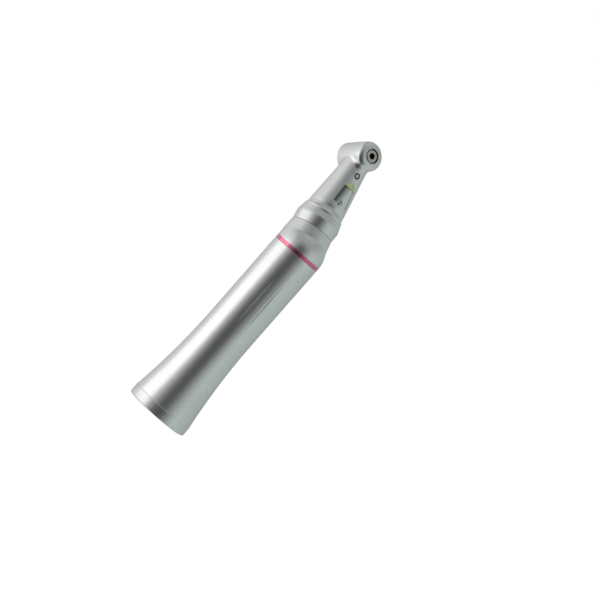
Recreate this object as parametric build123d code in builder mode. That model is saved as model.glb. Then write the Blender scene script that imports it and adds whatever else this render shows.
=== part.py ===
from build123d import *
import math
import os

# Red-ring contra-angle dental handpiece, 1:5 speed increasing, with light and spray.
# Millimetres and degrees. It stands on its rear rim: the origin is the centre of the rear face,
# +Z runs along the grip towards the head, and the bur leaves the head on the +X side.
# Three axes carry everything. The grip axis is Z. The neck axis leaves it at the knee point and
# leans towards -X. The bur axis crosses the far end of the neck axis. The two bevel gear stages
# have their cone apexes at those two crossing points.

# Driving dimensions

KNEE_Z = 62.2
NECK_BEND = 14.0
NECK_LENGTH = 37.3
HEAD_ANGLE = 80.0

RIM_RADIUS = 10.33
RIM_HEIGHT = 3.3
RIM_ROUND = 0.45
FLARE_RADIUS = 10.25
FLARE_END = 34.0
GRIP_RADIUS = 8.03
RATIO_RING_START = 63.2
RATIO_RING_END = 64.5

KNEE_EDGE_STATION = 6.35
KNEE_EDGE_RADIUS = 7.45
SEAM_STATION = 9.85
SEAM_RADIUS = 6.92
COLLAR_END = 15.3
NECK_START = 18.5
NECK_START_RADIUS = 5.9
NECK_TAPER = 0.1225

HEAD_RADIUS = 4.55
HEAD_BACK_RADIUS = 4.6
HEAD_BELLY = (4.68, -1.5)
ROUND_START = 3.5
ROUND_END = (2.75, 5.15)
HEAD_FRONT = 5.2
HEAD_BACK = -5.95
CAP_BACK = -7.95
BUTTON_DOME = 0.36
BUTTON_RADIUS = 2.45

SLEEVE_BORE = 7.05
CORE_RADIUS = 7.0
CORE_START = 26.05
CORE_END = 65.5
SOCKET_BORE = 7.75
SOCKET_NOSE_BORE = 6.5
SOCKET_TIP_BORE = 5.6

PRESSURE_ANGLE = 25.0
KNEE_MODULE = 0.21
KNEE_RING_TEETH = 30
KNEE_PINION_TEETH = 9
HEAD_CONE_DISTANCE = 3.43
CROWN_TEETH = 18
SPINDLE_TEETH = 12

SHAFT_RADIUS = 2.0
NECK_SHAFT_RADIUS = 1.0
SPINDLE_SEAT_RADIUS = 1.5875
BUR_RADIUS = 0.8
RACE_FIT = 0.01
GAP = 0.05

LIGHT_ROD_RADIUS = 0.65
LIGHT_PLACE = (-0.97, 5.51)
TUBE_PLACES = ((-4.4, 3.7), (-4.4, -3.7))
TUBE_RADIUS = 0.45
TUBE_BORE = 0.28


# The three working planes, each with its Z along its axis and its X in the plane of symmetry

bend = math.radians(NECK_BEND)
tip = math.radians(HEAD_ANGLE - NECK_BEND)
knee_point = Vector(0, 0, KNEE_Z)
neck_axis = Vector(-math.sin(bend), 0, math.cos(bend))
neck_under = Vector(math.cos(bend), 0, math.sin(bend))
bur_axis = Vector(math.sin(tip), 0, math.cos(tip))
bur_side = Vector(math.cos(tip), 0, -math.sin(tip))
head_point = knee_point + neck_axis * NECK_LENGTH

GRIP = Plane.XY
NECK = Plane(origin=knee_point, x_dir=neck_under, z_dir=neck_axis)
HEAD = Plane(origin=head_point, x_dir=bur_side, z_dir=bur_axis)


def at(frame, x, y, z):
    """A point given in one of the working planes."""
    return frame.from_local_coords(Vector(x, y, z))


def across(frame, station):
    """The plane square to the frame's axis at a station along it."""
    return Plane(origin=at(frame, 0, 0, station), x_dir=frame.x_dir, z_dir=frame.z_dir)


def section(frame):
    """The half-section plane: X is the radius and Y is the station along the axis."""
    return Plane(origin=frame.origin, x_dir=frame.x_dir, z_dir=-frame.y_dir)


def axis_of(frame):
    return Axis(frame.origin, frame.z_dir)


def turned(frame, outline):
    """A piece turned from a closed outline of (radius, station) points."""
    with BuildPart() as piece:
        with BuildSketch(section(frame)):
            with BuildLine():
                Polyline(*outline, close=True)
            make_face()
        revolve(axis=axis_of(frame))
    return piece


def ring(frame, outer, inner, start, end):
    return turned(frame, [(inner, start), (outer, start), (outer, end), (inner, end)])


def drill(frame, radius, x, y, start, end):
    """Cut a hole parallel to the frame's axis through the piece being built."""
    with BuildSketch(across(frame, start)) as hole:
        with Locations((x, y)):
            Circle(radius)
    extrude(hole.sketch, amount=end - start, mode=Mode.SUBTRACT)


def save(builder, name):
    builder.part.label = name
    export_step(builder.part, f"parts/{name}.step")


os.makedirs("parts", exist_ok=True)


# Grip: rim, flared sleeve with its finger flutes, and the red ratio ring

with BuildPart() as rear_end_ring:
    with BuildSketch(section(GRIP)):
        with BuildLine():
            Polyline(
                (8.65, 0.3),
                (8.95, 0),
                (RIM_RADIUS - RIM_ROUND, 0),
            )
            RadiusArc((RIM_RADIUS - RIM_ROUND, 0), (RIM_RADIUS, RIM_ROUND), -RIM_ROUND)
            Polyline(
                (RIM_RADIUS, RIM_ROUND),
                (RIM_RADIUS, RIM_HEIGHT - 0.1),
                (RIM_RADIUS - 0.1, RIM_HEIGHT),
                (8.65, RIM_HEIGHT),
                (8.65, 0.3),
            )
        make_face()
    revolve(axis=Axis.Z)
save(rear_end_ring, "rear_end_ring")

FLUTE_PAIRS = 3
FLUTE_PAIR_ANGLE = -16.5
FLUTE_SPREAD = 11.2
FLUTE_CENTRE = 45.6
FLUTE_LENGTH = 20.0
FLUTE_DEPTH = 0.075
FLUTE_CUTTER = 0.8

with BuildPart() as flute_cutter:
    with BuildSketch(section(GRIP)):
        with BuildLine():
            ThreePointArc(
                (FLUTE_CUTTER - FLUTE_DEPTH, -FLUTE_LENGTH / 2),
                (FLUTE_CUTTER, 0),
                (FLUTE_CUTTER - FLUTE_DEPTH, FLUTE_LENGTH / 2),
            )
            Polyline(
                (FLUTE_CUTTER - FLUTE_DEPTH, FLUTE_LENGTH / 2),
                (0, FLUTE_LENGTH / 2),
                (0, -FLUTE_LENGTH / 2),
                (FLUTE_CUTTER - FLUTE_DEPTH, -FLUTE_LENGTH / 2),
            )
        make_face()
    revolve(axis=Axis.Z)

flute_angles = [
    FLUTE_PAIR_ANGLE + 360 * pair / FLUTE_PAIRS + side * FLUTE_SPREAD
    for pair in range(FLUTE_PAIRS)
    for side in (-1, 1)
]
flute_reach = GRIP_RADIUS + FLUTE_CUTTER - FLUTE_DEPTH
flute_places = [
    Location((
        flute_reach * math.cos(math.radians(angle)),
        flute_reach * math.sin(math.radians(angle)),
        FLUTE_CENTRE,
    ))
    for angle in flute_angles
]

with BuildPart() as rear_sleeve:
    with BuildSketch(section(GRIP)):
        with BuildLine():
            TangentArc((GRIP_RADIUS, FLARE_END), (FLARE_RADIUS, RIM_HEIGHT), tangent=(0, -1))
            Polyline(
                (FLARE_RADIUS, RIM_HEIGHT),
                (8.65, RIM_HEIGHT),
                (8.65, 8.0),
                (7.95, 8.0),
                (7.95, 16.0),
                (SLEEVE_BORE, 16.0),
                (SLEEVE_BORE, RATIO_RING_START),
                (GRIP_RADIUS, RATIO_RING_START),
                (GRIP_RADIUS, FLARE_END),
            )
        make_face()
    revolve(axis=Axis.Z)
    with Locations(*flute_places):
        add(flute_cutter.part, mode=Mode.SUBTRACT)
save(rear_sleeve, "rear_sleeve")

ratio_ring = ring(GRIP, GRIP_RADIUS, SLEEVE_BORE, RATIO_RING_START, RATIO_RING_END)
save(ratio_ring, "ratio_ring")


# Knee sleeve: blends the grip's circle into the tilted circle at the neck's collar

KNEE_SECTIONS = 5
KNEE_FRONT_PULL = 2.6
KNEE_BACK_PULL = 0.9
KNEE_SPIGOT_START = 62.6
KNEE_REAR_BORE = 6.4
KNEE_CAVITY_START = 65.6
KNEE_CAVITY_RADIUS = 6.5
KNEE_SHOULDER = 8.2
KNEE_FRONT_BORE = 6.0


def knee_curve(side, pull):
    """The bend's outline on one side: it leaves along the grip and ends at the neck's first edge."""
    return Bezier(
        (side * GRIP_RADIUS, 0, RATIO_RING_END),
        (side * GRIP_RADIUS, 0, RATIO_RING_END + pull),
        at(NECK, side * KNEE_EDGE_RADIUS, 0, KNEE_EDGE_STATION),
    )


knee_front = knee_curve(1, KNEE_FRONT_PULL)
knee_back = knee_curve(-1, KNEE_BACK_PULL)

with BuildPart() as knee_sleeve:
    for step in range(KNEE_SECTIONS):
        front = knee_front @ (step / (KNEE_SECTIONS - 1))
        back = knee_back @ (step / (KNEE_SECTIONS - 1))
        across_bend = front - back
        bend_plane = Plane(
            origin=(front + back) / 2,
            x_dir=across_bend,
            z_dir=across_bend.cross(Vector(0, 1, 0)),
        )
        with BuildSketch(bend_plane):
            Circle(across_bend.length / 2)
    loft()
    with BuildSketch(across(NECK, KNEE_EDGE_STATION)):
        Circle(KNEE_EDGE_RADIUS)
    with BuildSketch(across(NECK, SEAM_STATION)):
        Circle(SEAM_RADIUS)
    loft(ruled=True)
    with BuildSketch(GRIP.offset(KNEE_SPIGOT_START)):
        Circle(CORE_RADIUS)
    extrude(amount=RATIO_RING_END - KNEE_SPIGOT_START)
    with BuildSketch(GRIP.offset(KNEE_SPIGOT_START)):
        Circle(KNEE_REAR_BORE)
    extrude(amount=KNEE_CAVITY_START - KNEE_SPIGOT_START, mode=Mode.SUBTRACT)
    with BuildSketch(GRIP.offset(KNEE_CAVITY_START)):
        Circle(KNEE_REAR_BORE)
    with BuildSketch(across(NECK, KNEE_EDGE_STATION)):
        Circle(KNEE_CAVITY_RADIUS)
    loft(ruled=True, mode=Mode.SUBTRACT)
    with BuildSketch(across(NECK, KNEE_EDGE_STATION)):
        Circle(KNEE_CAVITY_RADIUS)
    with BuildSketch(across(NECK, KNEE_SHOULDER)):
        Circle(KNEE_CAVITY_RADIUS - 0.2)
    loft(ruled=True, mode=Mode.SUBTRACT)
    with BuildSketch(across(NECK, KNEE_SHOULDER)):
        Circle(KNEE_FRONT_BORE)
    extrude(amount=SEAM_STATION - KNEE_SHOULDER, mode=Mode.SUBTRACT)
save(knee_sleeve, "knee_sleeve")


# Collar nut that clamps the neck to the knee

neck_collar = turned(NECK, [
    (KNEE_FRONT_BORE, SEAM_STATION + 0.1),
    (SEAM_RADIUS - 0.1, SEAM_STATION + 0.1),
    (SEAM_RADIUS, SEAM_STATION + 0.2),
    (7.16, 12.75),
    (7.16, 13.25),
    (6.66, COLLAR_END),
    (KNEE_FRONT_BORE, COLLAR_END),
])
save(neck_collar, "neck_collar")


# Head and neck casing, in one piece

NECK_BASE_RADIUS = 5.95
NECK_BASE_START = 8.4
BULKHEAD_START = 10.7
BULKHEAD_END = 13.3
NECK_BORE = 3.7
BEARING_WALL = 30.4
FRONT_SEAT_START = 31.3
FRONT_SEAT_END = 33.2
CROWN_BAY_RADIUS = 2.98
HEAD_BORE = 3.19
FACE_OPENING = 2.33
CAP_THREAD = 3.6
POCKET_START = 19.6
POCKET_END = 26.2
POCKET_REAR_HALF = 2.8
POCKET_FRONT_HALF = 2.05
POCKET_CORNER = 0.4
POCKET_FLOOR = 4.8
POCKET_SLOPE = 0.0815
WINDOW_CENTRE = 25.8
WINDOW_RADIUS = 1.95
WINDOW_FIT = 0.03
NOZZLE_STATION = 30.6
NOZZLE_RADIUS = 1.08
SCREW_STATION = 20.7
SCREW_RADIUS = 0.92
BEARING_BORE = 2.51
SADDLE_FILLET = 1.8


def neck_radius(station):
    return NECK_START_RADIUS - NECK_TAPER * (station - NECK_START)


def underside(station, height):
    """A plane square to the neck's underside line, at a height above the neck axis."""
    return Plane(origin=at(NECK, height, 0, station), x_dir=NECK.y_dir, z_dir=NECK.x_dir)


def window_outline(radius, rear):
    """The light window's outline about its centre: a round front, cut square at its rear station."""
    Circle(radius)
    with Locations((0, rear - WINDOW_CENTRE - radius)):
        Rectangle(3 * radius, 2 * radius, mode=Mode.SUBTRACT)


pocket_plane = Plane(
    origin=at(NECK, POCKET_FLOOR, 0, POCKET_START),
    x_dir=NECK.y_dir,
    z_dir=(NECK.x_dir + NECK.z_dir * POCKET_SLOPE).normalized(),
)

with BuildPart() as head_neck_casing:
    with BuildSketch(section(NECK)):
        with BuildLine():
            Polyline(
                (0, NECK_BASE_START),
                (NECK_BASE_RADIUS, NECK_BASE_START),
                (NECK_BASE_RADIUS, COLLAR_END + GAP),
                (6.55, COLLAR_END + GAP),
                (6.55, 15.7),
            )
            ThreePointArc((6.55, 15.7), (6.45, 16.2), (6.2, 16.55))
            ThreePointArc((6.2, 16.55), (5.98, 17.3), (NECK_START_RADIUS, NECK_START))
            Polyline(
                (NECK_START_RADIUS, NECK_START),
                (neck_radius(NECK_LENGTH - 1), NECK_LENGTH - 1),
                (0, NECK_LENGTH - 1),
                (0, NECK_BASE_START),
            )
        make_face()
    revolve(axis=axis_of(NECK))
    with BuildSketch(section(HEAD)):
        with BuildLine():
            Line((0, HEAD_BACK), (HEAD_BACK_RADIUS, HEAD_BACK))
            barrel = ThreePointArc((HEAD_BACK_RADIUS, HEAD_BACK), HEAD_BELLY, (HEAD_RADIUS, ROUND_START))
            TangentArc((HEAD_RADIUS, ROUND_START), ROUND_END, tangent=barrel % 1)
            Polyline(ROUND_END, (2.6, HEAD_FRONT), (0, HEAD_FRONT), (0, HEAD_BACK))
        make_face()
    revolve(axis=axis_of(HEAD))
    saddle = [
        edge
        for edge in edges()
        if edge.geom_type not in (GeomType.LINE, GeomType.CIRCLE)
    ]
    fillet(saddle, radius=SADDLE_FILLET)
    with BuildSketch(section(NECK)):
        with BuildLine():
            Polyline(
                (0, NECK_BASE_START),
                (5.5, NECK_BASE_START),
                (5.0, BULKHEAD_START - 0.1),
                (5.0, 15.0),
                (NECK_BORE, 18.6),
                (NECK_BORE, BEARING_WALL - 0.8),
                (1.6, BEARING_WALL),
                (1.6, FRONT_SEAT_START),
                (BEARING_BORE, FRONT_SEAT_START),
                (BEARING_BORE, FRONT_SEAT_END),
                (CROWN_BAY_RADIUS, FRONT_SEAT_END),
                (CROWN_BAY_RADIUS, NECK_LENGTH),
                (0, NECK_LENGTH),
                close=True,
            )
        make_face()
    revolve(axis=axis_of(NECK), mode=Mode.SUBTRACT)
    with BuildSketch(section(HEAD)):
        with BuildLine():
            Polyline(
                (0, HEAD_BACK),
                (CAP_THREAD, HEAD_BACK),
                (CAP_THREAD, -5.4),
                (HEAD_BORE, -5.3),
                (HEAD_BORE, 4.7),
                (FACE_OPENING, 4.7),
                (FACE_OPENING, HEAD_FRONT),
                (0, HEAD_FRONT),
                close=True,
            )
        make_face()
    revolve(axis=axis_of(HEAD), mode=Mode.SUBTRACT)
    with BuildSketch(pocket_plane):
        Polygon(
            (-POCKET_REAR_HALF, 0),
            (POCKET_REAR_HALF, 0),
            (POCKET_FRONT_HALF, POCKET_END - POCKET_START),
            (-POCKET_FRONT_HALF, POCKET_END - POCKET_START),
            align=None,
        )
        fillet(vertices(), radius=POCKET_CORNER)
    extrude(amount=3, mode=Mode.SUBTRACT)
    with BuildSketch(underside(WINDOW_CENTRE, 3.0)):
        window_outline(WINDOW_RADIUS, POCKET_END - WINDOW_FIT)
    extrude(amount=3, mode=Mode.SUBTRACT)
    with BuildSketch(underside(NOZZLE_STATION, 2.0)):
        Circle(NOZZLE_RADIUS)
    extrude(amount=4, mode=Mode.SUBTRACT)
    with BuildSketch(underside(SCREW_STATION, 2.0)):
        Circle(SCREW_RADIUS)
    extrude(amount=4, mode=Mode.SUBTRACT)
save(head_neck_casing, "head_neck_casing")


# Small pieces on the neck's underside

with BuildPart() as neck_shape:
    with BuildSketch(across(NECK, NECK_START)):
        Circle(neck_radius(NECK_START) - 0.02)
    with BuildSketch(across(NECK, BEARING_WALL)):
        Circle(neck_radius(BEARING_WALL) - 0.02)
    loft(ruled=True)

with BuildPart() as light_window:
    with BuildSketch(underside(WINDOW_CENTRE, 3.75)):
        window_outline(WINDOW_RADIUS - WINDOW_FIT, POCKET_END)
    extrude(amount=3)
    add(neck_shape.part, mode=Mode.INTERSECT)
save(light_window, "light_window")

NOZZLE_BASE = 2.75
NOZZLE_GROOVE_OUTER = 0.94
NOZZLE_GROOVE_INNER = 0.56
NOZZLE_FACE = neck_radius(NOZZLE_STATION) - 0.06

with BuildPart() as spray_nozzle:
    with BuildSketch(underside(NOZZLE_STATION, NOZZLE_BASE)):
        Circle(NOZZLE_RADIUS - 0.01)
    extrude(amount=NOZZLE_FACE - NOZZLE_BASE)
    with BuildSketch(underside(NOZZLE_STATION, NOZZLE_FACE - 0.8)):
        Circle(NOZZLE_GROOVE_OUTER)
        Circle(NOZZLE_GROOVE_INNER, mode=Mode.SUBTRACT)
    extrude(amount=1, mode=Mode.SUBTRACT)
    with BuildSketch(underside(NOZZLE_STATION, NOZZLE_BASE)):
        Circle(0.12)
    extrude(amount=3, mode=Mode.SUBTRACT)
save(spray_nozzle, "spray_nozzle")

SCREW_FOOT = 3.75
SCREW_HEAD = POCKET_FLOOR - 0.15
SCREW_PINS = 0.52
SCREW_PIN_HOLE = 0.26
SCREW_TURN = 70

with BuildPart() as neck_screw:
    with BuildSketch(underside(SCREW_STATION, SCREW_FOOT)):
        Circle(SCREW_RADIUS - 0.01)
    extrude(amount=SCREW_HEAD - SCREW_FOOT)
    with BuildSketch(underside(SCREW_STATION, SCREW_HEAD - 0.5)):
        with PolarLocations(SCREW_PINS, 2, start_angle=SCREW_TURN):
            Circle(SCREW_PIN_HOLE)
    extrude(amount=1, mode=Mode.SUBTRACT)
save(neck_screw, "neck_screw")


# Rear coupling socket for the motor's nose, with its seal

SEAL_STATION = 20.7
SEAL_THICKNESS = 0.42

with BuildPart() as coupling_socket:
    with BuildSketch(section(GRIP)):
        with BuildLine():
            Polyline(
                (SOCKET_BORE, 0),
                (8.6, 0),
                (8.6, 8.0 - GAP),
                (7.9, 8.0 - GAP),
                (7.9, 16.0 - GAP),
                (CORE_RADIUS, 16.0 - GAP),
                (CORE_RADIUS, SEAL_STATION - 0.5),
                (6.17, SEAL_STATION - 0.5),
                (6.17, SEAL_STATION + 0.5),
                (CORE_RADIUS, SEAL_STATION + 0.5),
                (CORE_RADIUS, CORE_START - GAP),
                (3.2, CORE_START - GAP),
                (3.2, 24.6),
                (SOCKET_TIP_BORE, 24.6),
                (SOCKET_TIP_BORE, 12.8),
                (SOCKET_NOSE_BORE, 12.4),
                (SOCKET_NOSE_BORE, 7.2),
                (8.1, 7.2),
                (8.1, 6.2),
                (SOCKET_BORE, 6.2),
                close=True,
            )
        make_face()
    revolve(axis=Axis.Z)
    drill(GRIP, 0.7, *LIGHT_PLACE, 24.0, 27.0)
    for place in TUBE_PLACES:
        drill(GRIP, 0.5, *place, 24.0, 27.0)
save(coupling_socket, "coupling_socket")

with BuildPart() as socket_seal:
    with BuildSketch(section(GRIP)):
        with Locations((6.17 + SEAL_THICKNESS, SEAL_STATION)):
            Circle(SEAL_THICKNESS)
    revolve(axis=Axis.Z)
save(socket_seal, "socket_seal")


# Core that carries the input shaft's bearings, the light rod and the two spray tubes

BEARING_SEAT = 4.51
REAR_BEARING = 31.75
FRONT_BEARING = 62.25
INPUT_BEARING_WIDTH = 2.5
CIRCLIP_GROOVE = 4.8

with BuildPart() as drive_core:
    with BuildSketch(section(GRIP)):
        with BuildLine():
            Polyline(
                (BEARING_SEAT, CORE_START),
                (CORE_RADIUS, CORE_START),
                (CORE_RADIUS, KNEE_SPIGOT_START - GAP),
                (6.38, KNEE_SPIGOT_START - GAP),
                (6.38, CORE_END),
                (BEARING_SEAT, CORE_END),
                (BEARING_SEAT, 64.2),
                (CIRCLIP_GROOVE, 64.2),
                (CIRCLIP_GROOVE, 63.6),
                (BEARING_SEAT, 63.6),
                (BEARING_SEAT, FRONT_BEARING - INPUT_BEARING_WIDTH / 2),
                (3.0, FRONT_BEARING - INPUT_BEARING_WIDTH / 2),
                (3.0, REAR_BEARING + INPUT_BEARING_WIDTH / 2),
                (BEARING_SEAT, REAR_BEARING + INPUT_BEARING_WIDTH / 2),
                (BEARING_SEAT, 30.4),
                (CIRCLIP_GROOVE, 30.4),
                (CIRCLIP_GROOVE, 29.8),
                (BEARING_SEAT, 29.8),
                close=True,
            )
        make_face()
    revolve(axis=Axis.Z)
    drill(GRIP, 0.7, *LIGHT_PLACE, CORE_START - 1, CORE_END + 1)
    for place in TUBE_PLACES:
        drill(GRIP, 0.5, *place, CORE_START - 1, CORE_END + 1)
save(drive_core, "drive_core")


def circlip(start):
    """A snap ring with its gap and two ears with eyes, sprung into a groove."""
    with BuildPart() as clip:
        with BuildSketch(GRIP.offset(start)):
            Circle(CIRCLIP_GROOVE - 0.03)
            Circle(4.1, mode=Mode.SUBTRACT)
            with Locations((3.95, 0.95), (3.95, -0.95)):
                Circle(0.42)
            with Locations((3.95, 0.95), (3.95, -0.95)):
                Circle(0.2, mode=Mode.SUBTRACT)
            with Locations((4.5, 0)):
                Rectangle(2.4, 1.0, mode=Mode.SUBTRACT)
        extrude(amount=0.5)
    return clip


save(circlip(29.85), "rear_circlip")
save(circlip(63.65), "front_circlip")


# Light rod and spray tubes, running from the socket past the knee gears to the neck's underside

def routed(path_points, radii, outer, bore):
    """A round rod or tube along straight runs joined by tangent arcs."""
    with BuildPart() as piece:
        with BuildLine() as path:
            FilletPolyline(*path_points, radius=radii)
        start = Plane(origin=path.line @ 0, z_dir=path.line % 0)
        with BuildSketch(start):
            Circle(outer)
            if bore:
                Circle(bore, mode=Mode.SUBTRACT)
        sweep()
    return piece


light_points = [
    Vector(*LIGHT_PLACE, 24.7),
    Vector(*LIGHT_PLACE, CORE_END + 1.1),
    at(NECK, 0, 4.1, 10.2),
    at(NECK, 0, 4.1, 14.0),
    at(NECK, 0.7, 2.85, 18.2),
    at(NECK, 2.6, 1.2, 22.6),
    at(NECK, 2.75, 0, 25.0),
    at(NECK, 3.03, 0, 26.8),
]
light_rod = routed(light_points, [6, 6, 4, 4, 2, 1.5], LIGHT_ROD_RADIUS, 0)
save(light_rod, "light_rod")

for side, name in ((1, "water_tube"), (-1, "air_tube")):
    tube_points = [
        Vector(TUBE_PLACES[0][0], side * TUBE_PLACES[0][1], 24.7),
        Vector(TUBE_PLACES[0][0], side * TUBE_PLACES[0][1], CORE_END + 1.1),
        at(NECK, -2.6, side * 3.2, 10.2),
        at(NECK, -2.6, side * 3.2, 14.0),
        at(NECK, -1.3, side * 2.75, 18.2),
        at(NECK, -1.0, side * 2.75, 26.0),
        at(NECK, 2.0, side * 1.6, 29.4),
    ]
    save(routed(tube_points, [6, 6, 4, 4, 2.5], TUBE_RADIUS, TUBE_BORE), name)


# Bevel gears. Every tooth flank runs to the apex where the two shafts' axes cross.

INVOLUTE_STEPS = 3


def involute(angle):
    return math.tan(angle) - angle


def tooth_outline(teeth, cone, distance, tip_height, root_depth, slack, phase, station):
    """Points around a bevel gear's teeth, in the plane at a station from the apex.

    cone is the pitch angle in radians, distance the pitch cone's length, and slack the
    amount taken off each tooth's thickness at the pitch line. The flanks are involutes
    on the back cone.
    """
    back_radius = distance * math.tan(cone)
    base_radius = back_radius * math.cos(math.radians(PRESSURE_ANGLE))
    pitch_half = (math.pi * distance * math.sin(cone) / teeth - slack) / 2
    pitch_turn = pitch_half / back_radius + involute(math.radians(PRESSURE_ANGLE))
    flank = []
    for step in range(INVOLUTE_STEPS + 1):
        rise = -root_depth + (tip_height + root_depth) * step / INVOLUTE_STEPS
        radius = back_radius + rise
        rolled = involute(math.acos(min(1.0, base_radius / radius)))
        opening = cone + rise / distance
        half_turn = (pitch_turn - rolled) * radius / (distance * math.sin(opening))
        flank.append((station * math.tan(opening), half_turn))
    points = []
    for tooth in range(teeth):
        middle = math.radians(phase) + math.tau * tooth / teeth
        for reach, half_turn in flank:
            points.append((
                reach * math.cos(middle - half_turn),
                reach * math.sin(middle - half_turn),
            ))
        for reach, half_turn in reversed(flank):
            points.append((
                reach * math.cos(middle + half_turn),
                reach * math.sin(middle + half_turn),
            ))
    return points


def toothed(frame, start, end, **shape):
    """The toothed cone of a bevel gear between two stations from the apex."""
    with BuildPart() as teeth:
        for station in (start, end):
            with BuildSketch(across(frame, station)):
                with BuildLine():
                    Polyline(*tooth_outline(station=station, **shape), close=True)
                make_face()
        loft(ruled=True)
    return teeth.part


knee_ratio = KNEE_RING_TEETH / KNEE_PINION_TEETH
knee_pinion_cone = math.atan(math.sin(bend) / (knee_ratio - math.cos(bend)))
knee_ring_cone = knee_pinion_cone + bend
knee_distance = KNEE_MODULE * KNEE_PINION_TEETH / (2 * math.sin(knee_pinion_cone))
knee_ring_end = knee_distance * math.cos(knee_ring_cone)
knee_pinion_end = knee_distance * math.cos(knee_pinion_cone)

head_angle = math.radians(HEAD_ANGLE)
crown_cone = math.atan(
    math.sin(head_angle) / (SPINDLE_TEETH / CROWN_TEETH + math.cos(head_angle))
)
spindle_cone = head_angle - crown_cone
head_module = 2 * HEAD_CONE_DISTANCE * math.sin(crown_cone) / CROWN_TEETH
crown_end = HEAD_CONE_DISTANCE * math.cos(crown_cone)
spindle_end = HEAD_CONE_DISTANCE * math.cos(spindle_cone)

# The head gears' teeth start at this part of the cone and are trimmed by a sphere at its end
FACE_START = 0.8
FACE_OVERRUN = 1.12

# Gear frames: origin at the apex, Z towards the large end, X towards the mesh
KNEE_RING_FRAME = Plane(origin=knee_point, x_dir=(-1, 0, 0), z_dir=(0, 0, 1))
KNEE_PINION_FRAME = Plane(origin=knee_point, x_dir=-neck_under, z_dir=neck_axis)
CROWN_FRAME = Plane(origin=head_point, x_dir=-neck_under, z_dir=-neck_axis)
SPINDLE_FRAME = Plane(origin=head_point, x_dir=bur_side, z_dir=-bur_axis)


# Input shaft and the internal bell gear on its front end

BELL_FACE = 1.5
BELL_RADIUS = 3.85
BELL_BACK = KNEE_Z + 3.2
SPRING_COLLAR = 27.2
SHAFT_FLAT_START = 13.9
SHAFT_FLAT_END = 22.0
SHAFT_FLAT_RADIUS = 1.5

with BuildPart() as input_shaft:
    with BuildSketch(section(GRIP)):
        with BuildLine():
            Polyline(
                (0, SHAFT_FLAT_START),
                (SHAFT_FLAT_RADIUS - 0.2, SHAFT_FLAT_START),
                (SHAFT_FLAT_RADIUS, SHAFT_FLAT_START + 0.2),
                (SHAFT_FLAT_RADIUS, 14.6),
                (1.2, 14.6),
                (1.2, 15.15),
                (SHAFT_FLAT_RADIUS, 15.15),
                (SHAFT_FLAT_RADIUS, SPRING_COLLAR),
                (2.6, SPRING_COLLAR),
                (2.6, SPRING_COLLAR + 0.8),
                (2.3, SPRING_COLLAR + 1.2),
                (2.3, REAR_BEARING - INPUT_BEARING_WIDTH / 2 - 0.02),
                (SHAFT_RADIUS, REAR_BEARING - INPUT_BEARING_WIDTH / 2 - 0.02),
                (SHAFT_RADIUS, REAR_BEARING + INPUT_BEARING_WIDTH / 2),
                (1.7, REAR_BEARING + INPUT_BEARING_WIDTH / 2 + 0.5),
                (1.7, FRONT_BEARING - INPUT_BEARING_WIDTH / 2 - 0.5),
                (SHAFT_RADIUS, FRONT_BEARING - INPUT_BEARING_WIDTH / 2),
                (SHAFT_RADIUS, BELL_BACK + 0.9),
                (1.3, BELL_BACK + 1.1),
                (0, BELL_BACK + 1.1),
                close=True,
            )
        make_face()
    revolve(axis=Axis.Z)
    with BuildSketch(GRIP.offset(SHAFT_FLAT_START)):
        with Locations((0, 2.15), (0, -2.15)):
            Rectangle(4, 2)
    extrude(amount=SHAFT_FLAT_END - SHAFT_FLAT_START, mode=Mode.SUBTRACT)
save(input_shaft, "input_shaft")

bell_teeth = toothed(
    KNEE_RING_FRAME,
    knee_ring_end - BELL_FACE,
    knee_ring_end + 0.2,
    teeth=KNEE_RING_TEETH,
    cone=knee_ring_cone,
    distance=knee_distance,
    tip_height=1.2 * KNEE_MODULE,
    root_depth=0.7 * KNEE_MODULE,
    slack=-0.02,
    phase=0,
)
bell_end = KNEE_Z + knee_ring_end

with BuildPart() as bell_gear:
    with BuildSketch(section(GRIP)):
        with BuildLine():
            Polyline(
                (SHAFT_RADIUS + RACE_FIT, BELL_BACK),
                (3.0, BELL_BACK),
                (BELL_RADIUS, BELL_BACK + 0.9),
                (BELL_RADIUS, bell_end - 0.2),
                (BELL_RADIUS - 0.2, bell_end),
                (1.5, bell_end),
                (1.5, bell_end - BELL_FACE),
                (2.75, bell_end - BELL_FACE),
                (2.75, BELL_BACK + 1.3),
                (SHAFT_RADIUS + RACE_FIT, BELL_BACK + 1.3),
                close=True,
            )
        make_face()
    revolve(axis=Axis.Z)
    add(bell_teeth, mode=Mode.SUBTRACT)
save(bell_gear, "bell_gear")


# Drive dog: slides on the input shaft's flats, pushed back by its spring

DOG_START = 13.2
DOG_END = 20.0
DOG_RADIUS = 2.9

with BuildPart() as drive_dog:
    with BuildSketch(section(GRIP)):
        with BuildLine():
            Polyline(
                (0, DOG_START),
                (DOG_RADIUS - 0.3, DOG_START),
                (DOG_RADIUS, DOG_START + 0.3),
                (DOG_RADIUS, 17.0),
                (2.5, 17.4),
                (2.5, DOG_END),
                (0, DOG_END),
                close=True,
            )
        make_face()
    revolve(axis=Axis.Z)
    with BuildSketch(GRIP.offset(DOG_START)):
        Circle(2.1)
    extrude(amount=15.25 - DOG_START, mode=Mode.SUBTRACT)
    with BuildSketch(GRIP.offset(DOG_START)):
        Circle(SHAFT_FLAT_RADIUS + GAP)
        with Locations((0, 2.15 + GAP), (0, -2.15 - GAP)):
            Rectangle(4, 2, mode=Mode.SUBTRACT)
    extrude(amount=DOG_END - DOG_START, mode=Mode.SUBTRACT)
    with BuildSketch(GRIP.offset(DOG_START)):
        Rectangle(8, 1.3)
    extrude(amount=1.1, mode=Mode.SUBTRACT)
save(drive_dog, "drive_dog")

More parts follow.
